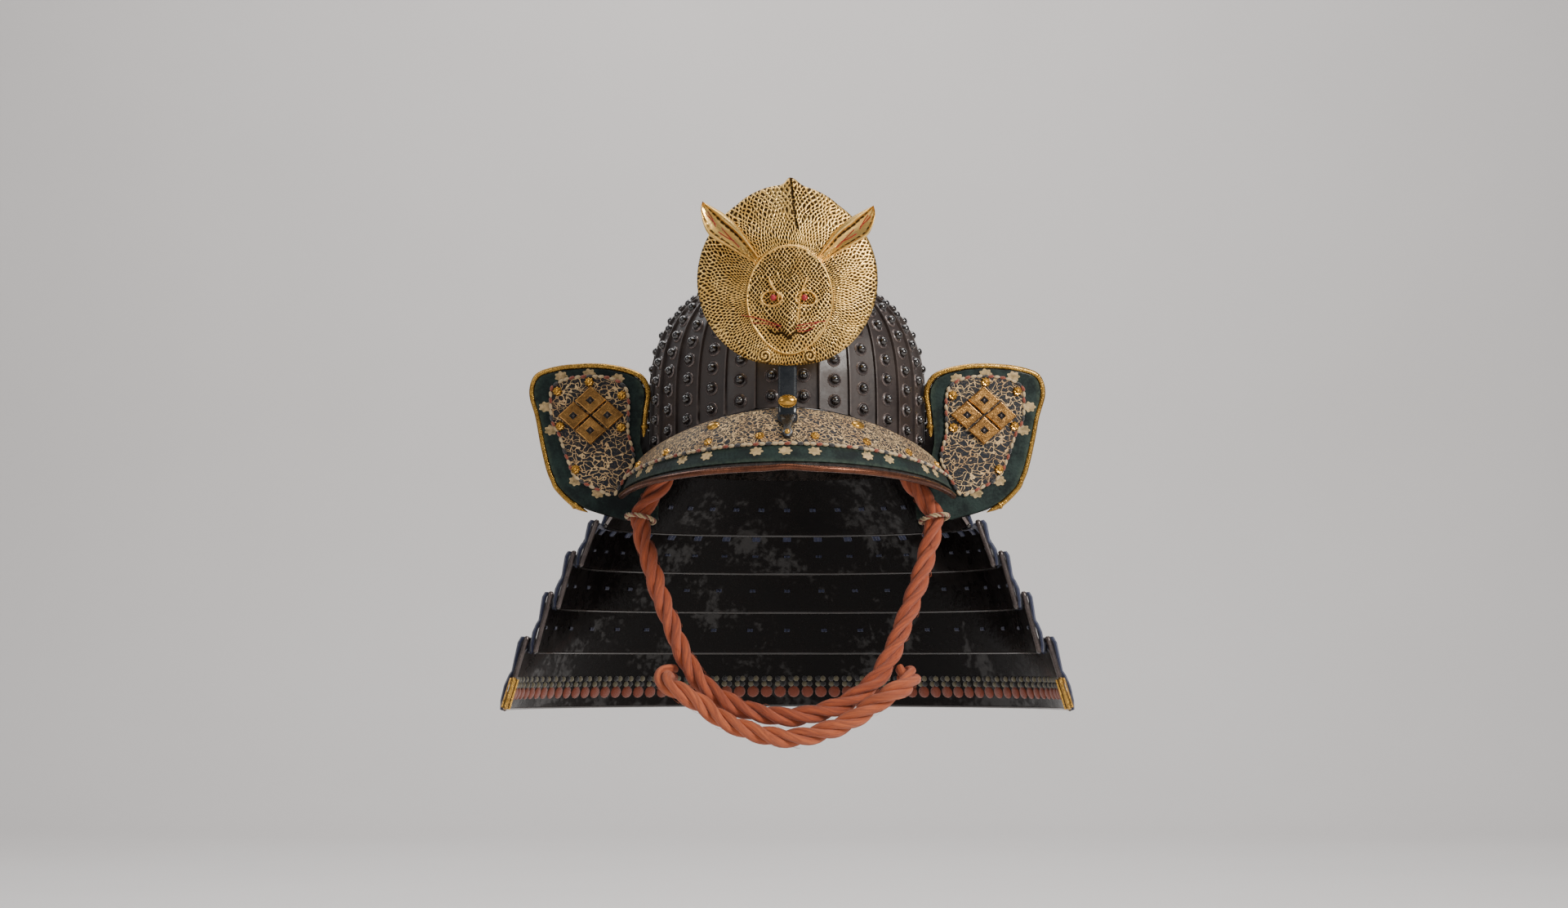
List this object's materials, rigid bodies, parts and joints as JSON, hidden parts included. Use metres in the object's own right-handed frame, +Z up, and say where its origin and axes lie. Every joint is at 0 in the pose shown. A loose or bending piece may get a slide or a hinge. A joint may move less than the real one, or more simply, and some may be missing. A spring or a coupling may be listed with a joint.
{
  "type": "kabuto helmet",
  "caption": "Riveted iron helmet bowl with leather-covered visor, gilt round animal crest, turned-back plates, laced neck guard and thick chin cord.",
  "frame": {"origin": "the middle of the bowl's opening, at the level of the band round the brow, where a head's widest girth sits", "axes": "+Z up through the crown, -Y to the front, over the visor, +X to the viewer's right when facing the helmet"},
  "size_m": [0.4408, 0.3813, 0.4157],
  "materials": {
    "russet_iron": "dark russet-brown patina on iron, satin, with glossy domed rivets",
    "black_lacquer": "black lacquer, semi-gloss",
    "printed_leather": "beige deerskin printed with dark blue scrolling marks, matt",
    "green_leather": "dark green deerskin with cream blotches, matt",
    "copper": "copper rim, softly worn",
    "braid": "cream and pale green braid with dark knots",
    "gilt_studs": "gilt chased flower studs",
    "gilt_fittings": "gilt copper engraved with fine scrolls",
    "antique_brass": "antique brass with a dark patina in the recesses",
    "crest_gilt": "gold leaf over lacquer, finely crackled",
    "red_enamel": "glossy red",
    "holder_lacquer": "blue-black lacquer, glossy",
    "brown_lacquer": "mauve-brown lacquer on the outside, glossy black-brown within",
    "rope": "thick twisted rope of faded orange-red silk fibres"
  },
  "bodies": {
    "root": {"bowl": "russet_iron", "crown_ring": "black_lacquer", "bowl_band": "black_lacquer", "visor": "black_lacquer", "visor_leather": "printed_leather", "turnback_panel_left": "printed_leather", "turnback_panel_right": "printed_leather", "turnback_leather_left": "green_leather", "turnback_leather_right": "green_leather", "visor_rim": "copper", "visor_piping": "braid", "cord_loop_left": "braid", "cord_loop_right": "braid", "visor_stud_1": "gilt_studs", "visor_stud_2": "gilt_studs", "visor_stud_3": "gilt_studs", "visor_stud_4": "gilt_studs", "visor_stud_5": "gilt_studs", "visor_stud_6": "gilt_studs", "visor_stud_7": "gilt_studs", "visor_stud_8": "gilt_studs", "crest_holder_stud": "gilt_studs", "turnback_stud_left_1": "gilt_studs", "turnback_stud_left_2": "gilt_studs", "turnback_stud_left_3": "gilt_studs", "turnback_stud_left_4": "gilt_studs", "turnback_stud_left_5": "gilt_studs", "turnback_stud_left_6": "gilt_studs", "turnback_stud_right_1": "gilt_studs", "turnback_stud_right_2": "gilt_studs", "turnback_stud_right_3": "gilt_studs", "turnback_stud_right_4": "gilt_studs", "turnback_stud_right_5": "gilt_studs", "turnback_stud_right_6": "gilt_studs", "turnback_rim_left": "gilt_fittings", "turnback_rim_right": "gilt_fittings", "corner_fitting_left": "gilt_fittings", "corner_fitting_right": "gilt_fittings", "turnback_diamond_left_top": "antique_brass", "turnback_diamond_left_bottom": "antique_brass", "turnback_diamond_left_near": "antique_brass", "turnback_diamond_left_far": "antique_brass", "turnback_diamond_right_top": "antique_brass", "turnback_diamond_right_bottom": "antique_brass", "turnback_diamond_right_near": "antique_brass", "turnback_diamond_right_far": "antique_brass", "crest": "crest_gilt", "crest_eye_left": "red_enamel", "crest_eye_right": "red_enamel", "crest_holder": "holder_lacquer", "neck_lame_1": "brown_lacquer", "neck_lame_2": "brown_lacquer", "neck_lame_3": "brown_lacquer", "neck_lame_4": "brown_lacquer", "neck_lame_5": "brown_lacquer", "chin_cord": "rope", "chin_cord_tail": "rope", "chin_turn_left": "rope", "chin_turn_right": "rope"}
  },
  "joints": []
}
